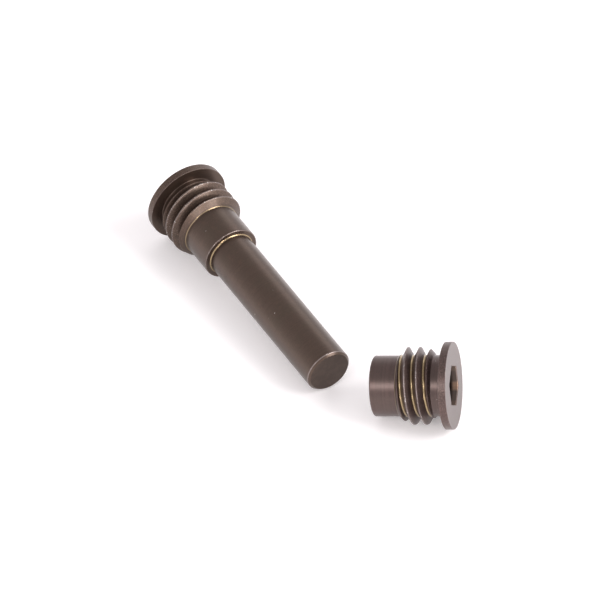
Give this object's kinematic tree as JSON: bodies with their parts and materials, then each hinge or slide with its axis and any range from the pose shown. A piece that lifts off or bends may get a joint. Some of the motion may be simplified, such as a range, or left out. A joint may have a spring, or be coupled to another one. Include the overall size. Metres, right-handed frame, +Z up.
{
  "type": "threaded pivot pin and cap set",
  "caption": "Flanged, threaded shoulder pin with a plain journal, and a matching short flanged cap with a hexagon socket and a plain spigot, lying loose.",
  "frame": {"origin": "centre of the underside of the set's bounding box, on the surface that both pieces lie on", "axes": "+X along the lying pin, from its flange to its free end; +Z up; +Y completes the right hand, and the cap lies on that side, past the pin's free end"},
  "size_m": [0.0436, 0.016, 0.009],
  "materials": {
    "pin_steel": "satin",
    "cap_steel": "satin"
  },
  "bodies": {
    "shoulder_pin": {"shoulder_pin": "pin_steel"},
    "socket_cap": {"socket_cap": "cap_steel"}
  },
  "joints": [
    {"name": "cap_lift", "type": "slide", "parent": "shoulder_pin", "child": "socket_cap", "axis": [0, 0, 1], "range_m": [0, 0.05]}
  ]
}
